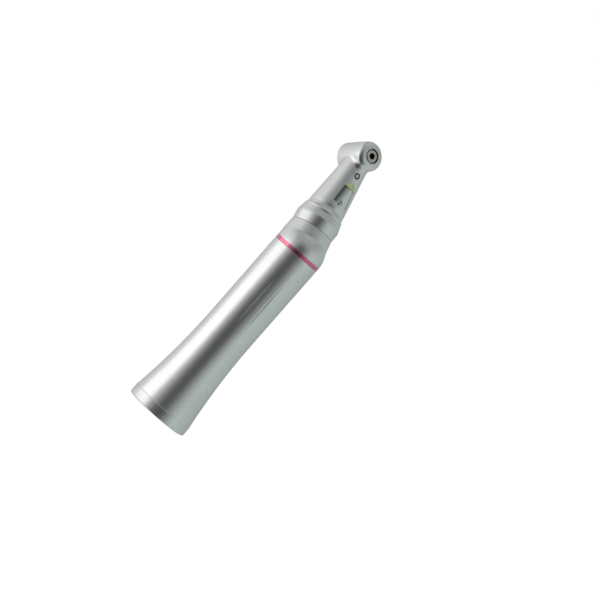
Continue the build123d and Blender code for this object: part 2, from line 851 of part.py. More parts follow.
dog_clip = turned(GRIP, [
    (1.22, 14.65),
    (1.95, 14.65),
    (1.95, 15.1),
    (1.22, 15.1),
])
save(dog_clip, "dog_clip")


def coil_spring(frame, mean_radius, wire_radius, start, end, turns):
    """A compression spring of round wire about the frame's axis."""
    with BuildPart() as spring:
        with BuildLine() as coil:
            Helix(
                pitch=(end - start) / turns,
                height=end - start,
                radius=mean_radius,
                center=at(frame, 0, 0, start),
                direction=frame.z_dir,
            )
        with BuildSketch(Plane(origin=coil.line @ 0, z_dir=coil.line % 0)):
            Circle(wire_radius)
        sweep(is_frenet=True)
    return spring


save(coil_spring(GRIP, 2.05, 0.2, DOG_END + 0.25, SPRING_COLLAR - 0.25, 5), "dog_spring")


# Neck shaft with its nine-tooth pinion, its bearing bulkhead and the crown gear

NECK_REAR_BEARING = 11.8
NECK_FRONT_BEARING = 32.2
NECK_BEARING_WIDTH = 1.8
PINION_FACE = 1.55

pinion_teeth = toothed(
    KNEE_PINION_FRAME,
    knee_pinion_end - PINION_FACE,
    knee_pinion_end,
    teeth=KNEE_PINION_TEETH,
    cone=knee_pinion_cone,
    distance=knee_distance,
    tip_height=0.9 * KNEE_MODULE,
    root_depth=0.95 * KNEE_MODULE,
    slack=0.05,
    phase=0,
)

with BuildPart() as neck_shaft:
    add(pinion_teeth)
    with BuildSketch(section(NECK)):
        with BuildLine():
            Polyline(
                (0, knee_pinion_end - 0.3),
                (0.7, knee_pinion_end - 0.3),
                (0.7, NECK_REAR_BEARING - NECK_BEARING_WIDTH / 2 - 0.4),
                (1.2, NECK_REAR_BEARING - NECK_BEARING_WIDTH / 2 - 0.3),
                (1.2, NECK_REAR_BEARING - NECK_BEARING_WIDTH / 2 - 0.02),
                (NECK_SHAFT_RADIUS, NECK_REAR_BEARING - NECK_BEARING_WIDTH / 2 - 0.02),
                (NECK_SHAFT_RADIUS, NECK_FRONT_BEARING + NECK_BEARING_WIDTH / 2 + 0.3),
                (0.8, NECK_FRONT_BEARING + NECK_BEARING_WIDTH / 2 + 0.3),
                (0.8, NECK_LENGTH - crown_end + 0.2),
                (0, NECK_LENGTH - crown_end + 0.2),
                close=True,
            )
        make_face()
    revolve(axis=axis_of(NECK))
save(neck_shaft, "neck_shaft")

with BuildPart() as bearing_bulkhead:
    with BuildSketch(section(NECK)):
        with BuildLine():
            Polyline(
                (BEARING_BORE, BULKHEAD_START),
                (4.95, BULKHEAD_START),
                (4.95, BULKHEAD_END),
                (1.3, BULKHEAD_END),
                (1.3, NECK_REAR_BEARING + NECK_BEARING_WIDTH / 2),
                (BEARING_BORE, NECK_REAR_BEARING + NECK_BEARING_WIDTH / 2),
                close=True,
            )
        make_face()
    revolve(axis=axis_of(NECK))
    drill(NECK, 0.72, 0, 4.1, BULKHEAD_START - 1, BULKHEAD_END + 1)
    for side in (-1, 1):
        drill(NECK, 0.52, -2.6, side * 3.2, BULKHEAD_START - 1, BULKHEAD_END + 1)
save(bearing_bulkhead, "bearing_bulkhead")

CROWN_HUB_START = 33.9

crown_teeth = toothed(
    CROWN_FRAME,
    crown_end * FACE_START,
    crown_end * FACE_OVERRUN,
    teeth=CROWN_TEETH,
    cone=crown_cone,
    distance=HEAD_CONE_DISTANCE,
    tip_height=0.8 * head_module,
    root_depth=1.05 * head_module,
    slack=0.08,
    phase=0,
)

with BuildPart() as crown_gear:
    add(crown_teeth)
    with Locations(head_point):
        Sphere(HEAD_CONE_DISTANCE, mode=Mode.INTERSECT)
    with BuildSketch(section(NECK)):
        with BuildLine():
            Polyline(
                (0, CROWN_HUB_START),
                (1.7, CROWN_HUB_START),
                (2.1, CROWN_HUB_START + 0.4),
                (2.1, NECK_LENGTH - crown_end),
                (0, NECK_LENGTH - crown_end + 0.1),
                close=True,
            )
        make_face()
    revolve(axis=axis_of(NECK))
    with BuildSketch(across(NECK, CROWN_HUB_START - 1)):
        Circle(0.8 + RACE_FIT)
    extrude(amount=NECK_LENGTH, mode=Mode.SUBTRACT)
save(crown_gear, "crown_gear")


# Spindle with its twelve-tooth pinion, and the collet that grips the bur

FRONT_HEAD_BEARING = 3.7
REAR_HEAD_BEARING = -4.25
HEAD_BEARING_WIDTH = 2.0
COLLET_RADIUS = 1.05
COLLET_TAIL_RADIUS = 0.9
COLLET_BACK = -4.9
COLLET_STEP = -1.6

spindle_teeth = toothed(
    SPINDLE_FRAME,
    spindle_end * FACE_START,
    spindle_end * FACE_OVERRUN,
    teeth=SPINDLE_TEETH,
    cone=spindle_cone,
    distance=HEAD_CONE_DISTANCE,
    tip_height=0.8 * head_module,
    root_depth=1.05 * head_module,
    slack=0.08,
    phase=180 / SPINDLE_TEETH,
)

with BuildPart() as spindle:
    add(spindle_teeth)
    with Locations(head_point):
        Sphere(HEAD_CONE_DISTANCE, mode=Mode.INTERSECT)
    with BuildSketch(section(HEAD)):
        with BuildLine():
            Polyline(
                (0, REAR_HEAD_BEARING - HEAD_BEARING_WIDTH / 2),
                (SPINDLE_SEAT_RADIUS, REAR_HEAD_BEARING - HEAD_BEARING_WIDTH / 2),
                (SPINDLE_SEAT_RADIUS, REAR_HEAD_BEARING + HEAD_BEARING_WIDTH / 2),
                (1.34, -spindle_end),
                (1.08, -spindle_end * FACE_START),
                (1.08, COLLET_STEP - 0.35),
                (1.38, COLLET_STEP),
                (1.38, FRONT_HEAD_BEARING - HEAD_BEARING_WIDTH / 2 - 0.3),
                (SPINDLE_SEAT_RADIUS, FRONT_HEAD_BEARING - HEAD_BEARING_WIDTH / 2),
                (SPINDLE_SEAT_RADIUS, 4.75),
                (1.89, 4.75),
                (1.89, 4.98),
                (1.8, 5.1),
                (0, 5.1),
                close=True,
            )
        make_face()
    revolve(axis=axis_of(HEAD))
    drill(HEAD, COLLET_TAIL_RADIUS + RACE_FIT, 0, 0, COLLET_BACK - 1, COLLET_STEP)
    drill(HEAD, COLLET_RADIUS + RACE_FIT, 0, 0, COLLET_STEP, HEAD_FRONT)
save(spindle, "spindle")

COLLET_SLITS = 3
COLLET_SLIT_START = -0.3
COLLET_SLIT_END = 3.4

with BuildPart() as collet:
    with BuildSketch(section(HEAD)):
        with BuildLine():
            Polyline(
                (BUR_RADIUS, COLLET_BACK),
                (COLLET_TAIL_RADIUS, COLLET_BACK),
                (COLLET_TAIL_RADIUS, COLLET_STEP + RACE_FIT),
                (COLLET_RADIUS, COLLET_STEP + RACE_FIT),
                (COLLET_RADIUS, 5.0),
                (COLLET_RADIUS - 0.05, 5.05),
                (BUR_RADIUS + 0.12, 5.05),
                (BUR_RADIUS, 4.93),
                close=True,
            )
        make_face()
    revolve(axis=axis_of(HEAD))
    with BuildSketch(across(HEAD, COLLET_SLIT_START)):
        with PolarLocations(COLLET_RADIUS, COLLET_SLITS):
            Rectangle(0.8, 0.14)
    extrude(amount=COLLET_SLIT_END - COLLET_SLIT_START, mode=Mode.SUBTRACT)
save(collet, "collet")


# Push-button back cap: pressing the button opens the collet

CAP_CORNER = 1.85
BUTTON_BACK = CAP_BACK - BUTTON_DOME
BUTTON_FRONT = -6.75
SPRING_RECESS = -7.45
CAP_WEB_START = -6.0
CAP_WEB_END = -5.75

with BuildPart() as head_back_cap:
    with BuildSketch(section(HEAD)):
        with BuildLine():
            Polyline(
                (BUTTON_RADIUS + 0.08, CAP_BACK + 0.1),
                (BUTTON_RADIUS + 0.08, CAP_WEB_START),
                (1.3, CAP_WEB_START),
                (1.3, CAP_WEB_END),
                (2.9, CAP_WEB_END),
                (2.9, -5.45),
                (CAP_THREAD - 0.01, -5.45),
                (CAP_THREAD - 0.01, HEAD_BACK - 0.02),
                (HEAD_BACK_RADIUS - 0.04, HEAD_BACK - 0.02),
                (HEAD_BACK_RADIUS, HEAD_BACK - 0.06),
                (HEAD_BACK_RADIUS, CAP_BACK + CAP_CORNER),
            )
            RadiusArc(
                (HEAD_BACK_RADIUS, CAP_BACK + CAP_CORNER),
                (HEAD_BACK_RADIUS - CAP_CORNER, CAP_BACK),
                -CAP_CORNER,
            )
            Line((HEAD_BACK_RADIUS - CAP_CORNER, CAP_BACK), (BUTTON_RADIUS + 0.08, CAP_BACK + 0.1))
        make_face()
    revolve(axis=axis_of(HEAD))
save(head_back_cap, "head_back_cap")

with BuildPart() as push_button:
    with BuildSketch(section(HEAD)):
        with BuildLine():
            Polyline(
                (0, -5.85),
                (0.9, -5.85),
                (1.0, -5.95),
                (1.0, SPRING_RECESS),
                (2.15, SPRING_RECESS),
                (2.15, BUTTON_FRONT),
                (BUTTON_RADIUS, BUTTON_FRONT),
                (BUTTON_RADIUS, CAP_BACK + 0.08),
            )
            TangentArc((0, BUTTON_BACK), (BUTTON_RADIUS, CAP_BACK + 0.08), tangent=(1, 0))
            Line((0, BUTTON_BACK), (0, -5.85))
        make_face()
    revolve(axis=axis_of(HEAD))
save(push_button, "push_button")

save(coil_spring(HEAD, 1.6, 0.12, SPRING_RECESS + 0.14, CAP_WEB_START - 0.14, 3), "button_spring")

preload_washer = turned(HEAD, [
    (2.55, -5.42),
    (3.12, -5.42),
    (3.12, -5.27),
    (2.55, -5.27),
])
save(preload_washer, "preload_washer")


# Ball bearings: outer race, inner race, cage and balls, each its own piece

BALL_FIT = 0.02
GROOVE_FIT = 0.03


def race(frame, station, width, pitch_radius, ball_radius, bore, outer):
    """One race ring with its ball groove."""
    with BuildPart() as piece:
        with BuildSketch(section(frame)):
            with Locations(((bore + outer) / 2, station)):
                Rectangle(outer - bore, width)
            with Locations((pitch_radius, station)):
                Circle(ball_radius + GROOVE_FIT, mode=Mode.SUBTRACT)
        revolve(axis=axis_of(frame))
    return piece


def bearing(name, frame, station, width, bore, outer, ball_radius, count):
    """Write the four pieces of a deep-groove ball bearing."""
    pitch_radius = (bore + outer) / 2
    land = ball_radius * 0.72
    save(
        race(frame, station, width, pitch_radius, ball_radius, bore + RACE_FIT, pitch_radius - land),
        f"{name}_inner_race",
    )
    save(
        race(frame, station, width, pitch_radius, ball_radius, pitch_radius + land, outer),
        f"{name}_outer_race",
    )
    centre = across(frame, station)
    places = PolarLocations(pitch_radius, count).local_locations
    with BuildPart(centre) as balls:
        with Locations(*places):
            Sphere(ball_radius)
    save(balls, f"{name}_balls")
    with BuildPart(centre) as cage:
        with BuildSketch(across(frame, station - width * 0.4)):
            Circle(pitch_radius + land * 0.62)
            Circle(pitch_radius - land * 0.62, mode=Mode.SUBTRACT)
        extrude(amount=width * 0.5)
        with Locations(*places):
            Sphere(ball_radius + BALL_FIT, mode=Mode.SUBTRACT)
    save(cage, f"{name}_cage")


INPUT_BALL = 0.8
NECK_BALL = 0.42
HEAD_BALL = 0.47

for name, station in (("input_rear", REAR_BEARING), ("input_front", FRONT_BEARING)):
    bearing(name, GRIP, station, INPUT_BEARING_WIDTH, SHAFT_RADIUS, 4.5, INPUT_BALL, 9)
for name, station in (("neck_rear", NECK_REAR_BEARING), ("neck_front", NECK_FRONT_BEARING)):
    bearing(name, NECK, station, NECK_BEARING_WIDTH, NECK_SHAFT_RADIUS, 2.5, NECK_BALL, 9)
for name, station in (("head_rear", REAR_HEAD_BEARING), ("head_front", FRONT_HEAD_BEARING)):
    bearing(name, HEAD, station, HEAD_BEARING_WIDTH, SPINDLE_SEAT_RADIUS, 3.175, HEAD_BALL, 9)
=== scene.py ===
import math

import bmesh
import bpy
from mathutils import Matrix, Vector

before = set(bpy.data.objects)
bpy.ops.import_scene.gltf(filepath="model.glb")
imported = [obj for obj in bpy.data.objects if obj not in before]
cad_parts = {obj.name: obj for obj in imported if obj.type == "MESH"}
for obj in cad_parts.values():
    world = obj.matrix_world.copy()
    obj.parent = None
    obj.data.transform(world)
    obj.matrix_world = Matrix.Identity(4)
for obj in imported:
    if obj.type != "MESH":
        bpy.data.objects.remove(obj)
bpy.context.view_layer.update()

# Looks of the red-ring contra-angle handpiece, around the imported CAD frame. Everything is in
# metres. The part stands on its rear rim: +Z runs along the grip, and the bur leaves towards +X.

MM = 0.001
scene = bpy.context.scene

# The three axes that carry the part, as in the CAD model

NECK_BEND = math.radians(14.0)
BUR_TILT = math.radians(66.0)
NECK_LENGTH = 37.3 * MM
KNEE_POINT = Vector((0, 0, 62.2 * MM))
GRIP_AXIS = Vector((0, 0, 1))
NECK_AXIS = Vector((-math.sin(NECK_BEND), 0, math.cos(NECK_BEND)))
NECK_UNDER = Vector((math.cos(NECK_BEND), 0, math.sin(NECK_BEND)))
BUR_AXIS = Vector((math.sin(BUR_TILT), 0, math.cos(BUR_TILT)))
SIDE = Vector((0, 1, 0))
HEAD_POINT = KNEE_POINT + NECK_AXIS * NECK_LENGTH


def add_object(name, data):
    """A new object in the scene."""
    new = bpy.data.objects.new(name, data)
    scene.collection.objects.link(new)
    return new


def set_down(item, place, axes):
    """Puts an object at a place, with its own X, Y and Z along three axes."""
    item.matrix_world = Matrix.Translation(place) @ Matrix(axes).transposed().to_4x4()


# Camera at the photograph's viewing angle: low beside the standing part, rolled to lay it over

TOWARD_CAMERA = Vector((0.8651, -0.5013, 0.0156)).normalized()
CAMERA_RIGHT = Vector((0.3681, 0.6558, 0.6591))
CAMERA_PLACE = Vector((0.60557, -0.33942, 0.06463))
FOCAL_LENGTH = 139.37
SENSOR_WIDTH = 36
NEAREST = 0.01
FARTHEST = 50

camera_data = bpy.data.cameras.new("camera")
camera_data.lens = FOCAL_LENGTH
camera_data.sensor_width = SENSOR_WIDTH
camera_data.clip_start = NEAREST
camera_data.clip_end = FARTHEST
camera = add_object("camera", camera_data)
camera_up = TOWARD_CAMERA.cross(CAMERA_RIGHT).normalized()
camera_right = camera_up.cross(TOWARD_CAMERA)
set_down(camera, CAMERA_PLACE, (camera_right, camera_up, TOWARD_CAMERA))
scene.camera = camera
scene.view_settings.view_transform = "Standard"


# Node trees are written by two small helpers.
# The limits that a noise's values mostly stay between
NOISE_LOW = 0.3
NOISE_HIGH = 0.7
BEVEL_SAMPLES = 4


class Tree:
    """Adds nodes to a shader tree; a value that is a socket is linked, anything else is set."""

    def __init__(self, tree):
        self.tree = tree

    def add(self, kind, inputs=(), out=0, **settings):
        """One output of a new node, which is given its settings and then its inputs."""
        node = self.tree.nodes.new("ShaderNode" + kind)
        for name, value in settings.items():
            setattr(node, name, value)
        for key, value in dict(inputs).items():
            self.feed(node.inputs[key], value)
        return node.outputs[out]

    def feed(self, socket, value):
        """Links an input to a socket, or sets it to a plain value."""
        if isinstance(value, bpy.types.NodeSocket):
            self.tree.links.new(value, socket)
        else:
            socket.default_value = value

    def ramp(self, factor, stops, smooth="LINEAR"):
        """Colours along a factor, from stops of a position and a colour."""
        output = self.add("ValToRGB", {"Fac": factor})
        steps = output.node.color_ramp
        steps.interpolation = smooth
        while len(steps.elements) < len(stops):
            steps.elements.new(1.0)
        for element, (position, colour) in zip(steps.elements, stops):
            element.position = position
            element.color = (*colour, 1.0)
        return output

    def spread(self, value, low, high, to_low=0.0, to_high=1.0):
        """A value taken from one range to another and held at the range's ends."""
        return self.add("MapRange", {
            "Value": value,
            "From Min": low,
            "From Max": high,
            "To Min": to_low,
            "To Max": to_high,
        })

    def follow(self, noise, to_low, to_high):
        """A value that follows a noise between two limits."""
        return self.spread(noise, NOISE_LOW, NOISE_HIGH, to_low, to_high)

    def calc(self, operation, *values):
        """Plain arithmetic on one to three values."""
        return self.add("Math", dict(enumerate(values)), operation=operation)

    def dot(self, vector, axis):
        """How far a vector goes along an axis."""
        return self.add("VectorMath", {0: vector, 1: axis}, out="Value",
                        operation="DOT_PRODUCT")

    def blend(self, factor, start, end, **settings):
        """Two colours mixed by a factor."""
        return self.add("Mix", {"Factor": factor, "A": start, "B": end}, out=2,
                        data_type="RGBA", **settings)


class Finish(Tree):
    """A material built round one Principled shader, with detail placed in the piece's own metres."""

    def __init__(self, name, **fixed):
        self.material = bpy.data.materials.new(name)
        self.material.use_nodes = True
        super().__init__(self.material.node_tree)
        self.shader = self.tree.nodes["Principled BSDF"]
        self.give(**fixed)
        self.place = self.add("TexCoord", out="Object")

    def give(self, **sockets):
        """Feeds the shader's inputs, named with underscores for spaces."""
        for socket, value in sockets.items():
            self.feed(self.shader.inputs[socket.replace("_", " ")], value)
        return self.material

    def base_colour(self):
        """The socket that the shader's base colour comes from so far."""
        return self.shader.inputs["Base Color"].links[0].from_socket

    def noise(self, size, detail):
        """Soft noise whose blotches are about size metres across."""
        return self.add("TexNoise", {"Vector": self.place, "Scale": 1 / size, "Detail": detail})

    def turning_marks(self, axis, size):
        """Fine rings left by the tool, square to an axis."""
        return self.add("TexNoise", {"W": self.along(axis), "Scale": 1 / size, "Detail": 3.0},
                        noise_dimensions="1D")

    def offset(self, origin):
        """The vector to here from a point."""
        return self.add("VectorMath", {0: self.place, 1: origin}, operation="SUBTRACT")

    def along(self, axis, origin=Vector((0, 0, 0))):
        """Distance in metres along an axis."""
        return self.dot(self.offset(origin), axis)

    def off_axis(self, axis, origin):
        """Distance in metres from an axis."""
        crossed = self.add("VectorMath", {0: self.offset(origin), 1: axis},
                           operation="CROSS_PRODUCT")
        return self.add("VectorMath", {0: crossed}, out="Value", operation="LENGTH")

    def all_of(self, *masks):
        """On only where every mask is on."""
        joint = masks[0]
        for mask in masks[1:]:
            joint = self.calc("MULTIPLY", joint, mask)
        return joint

    def tint(self, mask, colour, shade, amount=1.0):
        """A colour turned towards a shade where a mask is on."""
        return self.blend(self.calc("MULTIPLY", mask, amount), colour, (*shade, 1.0))

    def rounded(self, radius):
        """The surface's normal, with its edges softened."""
        return self.add("Bevel", {"Radius": radius}, samples=BEVEL_SAMPLES)

    def bump(self, height, depth, normal=None):
        """The surface's normal, tilted by a height that varies over depth metres."""
        inputs = {"Height": height, "Distance": depth, "Strength": 1.0}
        if normal is not None:
            inputs["Normal"] = normal
        return self.add("Bump", inputs)


# Where the finishes and the painted shade change. Each mask is a pair: where it is off, then where
# it is fully on.

SOFT_EDGE = 0.12 * MM
EDGE_WORN = (0.99, 0.9)
# Near-black of the painted shade in holes, grooves and gaps
HOLLOW_SHADE = (0.03, 0.028, 0.025)
# Grey of the painted shade along the recess's wall
POCKET_SHADE = (0.10, 0.105, 0.105)

# The neck's cone: its radius at the knee point, square to the neck, and its slope
CONE_RADIUS = 8.166 * MM
CONE_SLOPE = 0.1225

# The neck's recess: its ends, its half-width at the rear, how fast it narrows, and its wall's
# place sideways if the wall ran back to the knee point
POCKET_REAR = 19.6 * MM
POCKET_FRONT = 26.2 * MM
POCKET_HALF = 2.8 * MM
POCKET_NARROWING = 0.114
POCKET_WALL = -POCKET_HALF - POCKET_NARROWING * POCKET_REAR

# The painted shade in the recess, along its wall: below the cone, from the wall, from either end, on
# the underside
SHADE_SUNK = (0.03 * MM, 0.15 * MM)
SHADE_ACROSS = (POCKET_WALL + 3.2 * MM, POCKET_WALL + 0.9 * MM)
SHADE_REAR = (POCKET_REAR - 0.1 * MM, POCKET_REAR + 0.9 * MM)
SHADE_FRONT = (POCKET_FRONT + 0.05 * MM, POCKET_FRONT)
SHADE_UNDER = (3.5 * MM, 3.6 * MM)

# The head's face: the first millimetre below its brink, the radius of its opening in the casing,
# and the radii of the bur's mouth and of the rim round the spindle's end
BRINK = 4.95 * MM
FACE_TOP = (BRINK, BRINK - 0.1 * MM)
FACE_BOTTOM = (BRINK - 1.1 * MM, BRINK - 1.0 * MM)
OPENING = (3.3 * MM, 3.25 * MM)
MOUTH = (0.98 * MM, 0.93 * MM)
SPINDLE_RIM = (1.72 * MM, 1.8 * MM)

# The nozzle on the neck's underside: its place, its face's distance from the neck's axis, and
# its groove's radii and depth
NOZZLE_STATION = 30.6 * MM
NOZZLE_FACE = 4.36 * MM
GROOVE_INNER = (0.53 * MM, 0.56 * MM)
GROOVE_OUTER = (0.97 * MM, 0.94 * MM)
GROOVE_SUNK = (NOZZLE_FACE - 0.1 * MM, NOZZLE_FACE - 0.3 * MM)

# The screw in the recess, likewise, with its own radius and the depth of its pin holes
SCREW_STATION = 20.7 * MM
SCREW_FACE = 4.65 * MM
SCREW_HEAD = (1.03 * MM, 1.0 * MM)
PIN_HOLE_SUNK = (SCREW_FACE - 0.02 * MM, SCREW_FACE - 0.08 * MM)


def pocket_painted_shade(finish):
    """Painted shade in the neck's recess, dark along one wall and fading across the floor."""
    station = finish.along(NECK_AXIS, KNEE_POINT)
    radius = finish.off_axis(NECK_AXIS, KNEE_POINT)
    cone = finish.calc("MULTIPLY_ADD", station, -CONE_SLOPE, CONE_RADIUS)
    wall = finish.calc("MULTIPLY_ADD", station, -POCKET_NARROWING, finish.along(SIDE))
    return finish.all_of(
        finish.spread(finish.calc("SUBTRACT", cone, radius), *SHADE_SUNK),
        finish.spread(wall, *SHADE_ACROSS),
        finish.spread(station, *SHADE_REAR),
        finish.spread(station, *SHADE_FRONT),
        finish.spread(finish.along(NECK_UNDER, KNEE_POINT), *SHADE_UNDER),
    )


def in_the_face(finish, radii):
    """To one side of a circle round the bur, just below the face's brink: where the gap's shade is
    painted.
    """
    depth = finish.along(BUR_AXIS, HEAD_POINT)
    return finish.all_of(
        finish.spread(finish.off_axis(BUR_AXIS, HEAD_POINT), *radii),
        finish.spread(depth, *FACE_TOP),
        finish.spread(depth, *FACE_BOTTOM),
    )


def satin_shell(name, axis):
    """Pearl-blasted metal: fine grain, faint cloudiness, edges rubbed a little brighter."""
    finish = Finish(name, Metallic=1.0)
    rounded = finish.rounded(SOFT_EDGE)
    flat = finish.add("NewGeometry", out="Normal")
    worn = finish.spread(finish.dot(rounded, flat), *EDGE_WORN)
    cloud = finish.noise(6 * MM, 3.0)
    grain = finish.noise(0.16 * MM, 2.0)
    pearl = finish.noise(0.45 * MM, 1.0)

    colour = finish.ramp(cloud, [(0.3, (0.79, 0.80, 0.80)), (0.7, (0.85, 0.86, 0.86))])
    colour = finish.tint(finish.spread(pearl, 0.35, 0.7), colour, (0.88, 0.89, 0.89))
    colour = finish.tint(worn, colour, (0.93, 0.93, 0.92))
    # Painted shade along the recess's wall, standing in for the wall's shadow and dark reflection on
    # the floor
    colour = finish.tint(pocket_painted_shade(finish), colour, POCKET_SHADE, amount=0.95)
    # Painted shade in the gap just inside the face's opening
    colour = finish.tint(in_the_face(finish, OPENING), colour, HOLLOW_SHADE, amount=0.97)

    polish = finish.calc("MULTIPLY", worn, -0.06)
    lathe = finish.bump(finish.turning_marks(axis, 0.12 * MM), 0.0004 * MM, rounded)
    finish.give(
        Base_Color=colour,
        Roughness=finish.calc("ADD", finish.follow(grain, 0.26, 0.33), polish),
        Normal=finish.bump(grain, 0.0022 * MM, lathe),
    )
    return finish


def plain_metal(name, axis, light, dark, roughness, mark=0.08 * MM, depth=0.0006 * MM, stain=0.0):
    """Turned or ground metal: rings square to its axis, a cloud of handling marks, soft edges."""
    finish = Finish(name, Metallic=1.0)
    cloud = finish.noise(1.5 * MM, 4.0)
    rings = finish.turning_marks(axis, mark)
    uneven = finish.follow(rings, roughness * 0.75, roughness * 1.25)
    finish.give(
        Base_Color=finish.ramp(cloud, [(0.3, dark), (0.7, light)]),
        Roughness=finish.calc("ADD", uneven, finish.calc("MULTIPLY", cloud, stain)),
        Normal=finish.bump(rings, depth, finish.rounded(SOFT_EDGE / 2)),
    )
    return finish


def red_ring(name, axis):
    """Clear red lacquer over turned metal."""
    finish = Finish(name, Metallic=1.0, Coat_Weight=1.0, Coat_Roughness=0.05, Coat_IOR=1.9)
    rings = finish.turning_marks(axis, 0.1 * MM)
    cloud = finish.noise(3 * MM, 3.0)
    finish.give(
        Base_Color=finish.ramp(cloud, [(0.3, (0.71, 0.12, 0.23)), (0.7, (0.79, 0.165, 0.295))]),
        Roughness=finish.follow(rings, 0.13, 0.19),
        Normal=finish.bump(rings, 0.0004 * MM),
    )
    return finish


def seal_rubber(name, axis):
    """Black rubber with a fine skin and a little dust."""
    finish = Finish(name, Metallic=0.0, Specular_IOR_Level=0.35)
    skin = finish.noise(0.12 * MM, 3.0)
    dust = finish.noise(1.2 * MM, 4.0)
    finish.give(
        Base_Color=finish.ramp(dust, [
            (0.35, (0.012, 0.012, 0.013)),
            (0.75, (0.035, 0.035, 0.037)),
        ]),
        Roughness=finish.follow(skin, 0.5, 0.72),
        Normal=finish.bump(skin, 0.004 * MM),
    )
    return finish


def light_glass(name, axis):
    """The polished end of a bundle of glass fibres: a honeycomb of tiny yellow-green cores."""
    finish = Finish(name, Metallic=0.0, IOR=1.5, Coat_Weight=0.5, Coat_Roughness=0.04)
    fibres = finish.add("TexVoronoi", {"Vector": finish.place, "Scale": 1 / (0.09 * MM)})
    cloud = finish.noise(0.7 * MM, 2.0)
    core = finish.ramp(fibres, [
        (0.1, (0.80, 0.82, 0.45)),
        (0.5, (0.66, 0.70, 0.32)),
        (0.8, (0.36, 0.39, 0.17)),
    ])
    shade = finish.ramp(cloud, [(0.35, (0.75, 0.78, 0.7)), (0.65, (1.0, 1.0, 0.95))])
    finish.give(
        Base_Color=finish.blend(1.0, core, shade, blend_type="MULTIPLY"),
        Roughness=finish.spread(fibres, 0.1, 0.8, 0.1, 0.3),
        Normal=finish.bump(fibres, 0.001 * MM),
    )
    return finish


def cage_resin(name, axis):
    """Brown phenolic bearing cage with its woven filler just showing."""
    finish = Finish(name, Metallic=0.0)
    filler = finish.noise(0.15 * MM, 4.0)
    finish.give(
        Base_Color=finish.ramp(filler, [(0.35, (0.20, 0.105, 0.045)), (0.7, (0.36, 0.21, 0.10))]),
        Roughness=finish.follow(filler, 0.4, 0.6),
        Normal=finish.bump(filler, 0.002 * MM),
    )
    return finish


def steel(name, axis):
    """Turned stainless steel; holes and grooves that show are painted dark as shade."""
    if axis is BUR_AXIS:
        return chuck_steel(name)
    finish = plain_metal(name, axis, (0.70, 0.70, 0.70), (0.58, 0.58, 0.59), 0.24)
    if axis is NECK_AXIS:
        shade_neck_fittings(finish)
    return finish


def shade_neck_fittings(finish):
    """Painted shade in the spray nozzle's groove and the screw's pin holes, and the screw's head
    darkened a little.
    """
    outward = finish.along(NECK_UNDER, KNEE_POINT)
    from_nozzle = finish.off_axis(NECK_UNDER, KNEE_POINT + NECK_AXIS * NOZZLE_STATION)
    from_screw = finish.off_axis(NECK_UNDER, KNEE_POINT + NECK_AXIS * SCREW_STATION)
    groove = finish.all_of(
        finish.spread(from_nozzle, *GROOVE_INNER),
        finish.spread(from_nozzle, *GROOVE_OUTER),
        finish.spread(outward, *GROOVE_SUNK),
    )
    screw_head = finish.spread(from_screw, *SCREW_HEAD)
    pin_holes = finish.all_of(screw_head, finish.spread(outward, *PIN_HOLE_SUNK))
    # Painted shade in the nozzle's groove
    colour = finish.tint(groove, finish.base_colour(), HOLLOW_SHADE)
    # The screw's head darkened a quarter of the way to the same near-black
    colour = finish.tint(screw_head, colour, HOLLOW_SHADE, amount=0.25)
    # Painted shade in the screw's pin holes
    finish.give(Base_Color=finish.tint(pin_holes, colour, HOLLOW_SHADE))


def chuck_steel(name):
    """The spindle and its collet: a straw-tinted face, with painted shade in the bores inside the
    brink.
    """
    finish = plain_metal(name, BUR_AXIS, (0.72, 0.68, 0.64), (0.62, 0.58, 0.54), 0.24)
    mouth = finish.spread(finish.off_axis(BUR_AXIS, HEAD_POINT), *MOUTH)
    # Painted shade in the bur's bore
    colour = finish.tint(mouth, finish.base_colour(), HOLLOW_SHADE)
    # Painted shade in the gap round the spindle's end
    finish.give(Base_Color=finish.tint(in_the_face(finish, SPINDLE_RIM), colour, HOLLOW_SHADE))
    return finish


def brass(name, axis):
    """Yellow brass with handling marks."""
    return plain_metal(name, axis, (0.82, 0.64, 0.34), (0.68, 0.51, 0.25), 0.26, stain=0.1)


def gear_steel(name, axis):
    """Darker ground steel."""
    return plain_metal(name, axis, (0.55, 0.55, 0.57), (0.42, 0.42, 0.44), 0.2, mark=0.05 * MM)


def spring_steel(name, axis):
    """Dark drawn wire."""
    return plain_metal(name, axis, (0.46, 0.46, 0.48), (0.33, 0.33, 0.35), 0.28, mark=0.03 * MM)


def race_steel(name, axis):
    """Bright polished bearing steel."""
    return plain_metal(name, axis, (0.76, 0.76, 0.77), (0.68, 0.68, 0.70), 0.12, mark=0.04 * MM,
                       depth=0.0002 * MM)


FINISHES = {
    "satin_shell": satin_shell,
    "red_ring": red_ring,
    "steel": steel,
    "brass": brass,
    "gear_steel": gear_steel,
    "spring_steel": spring_steel,
    "seal_rubber": seal_rubber,
    "light_glass": light_glass,
    "race_steel": race_steel,
    "cage": cage_resin,
}
AXES = {"grip": GRIP_AXIS, "neck": NECK_AXIS, "head": BUR_AXIS}
GROUPS = {
    "neck": ("neck_", "head_neck", "knee", "bearing_bulkhead", "crown_gear",
             "light_window", "spray_nozzle"),
    "head": ("head_front", "head_rear", "head_back", "push_button", "button_spring",
             "preload_washer", "spindle", "collet"),
}


def group_of(node):
    """Which of the three axes a CAD node's tool marks run round."""
    for group, starts in GROUPS.items():
        if node.startswith(starts):
            return group
    return "grip"


made = {}
for node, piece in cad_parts.items():
    group = group_of(node)
    for index, old in enumerate(piece.data.materials):
        key = (old.name, group)
        if key not in made:
            made[key] = FINISHES[old.name](f"{old.name}_{group}", AXES[group]).material
        piece.data.materials[index] = made[key]


# Studio: a plain white floor that metal doesn't mirror, and walls of soft light

FLOOR_RADIUS = 3.0
FLOOR_SIDES = 96

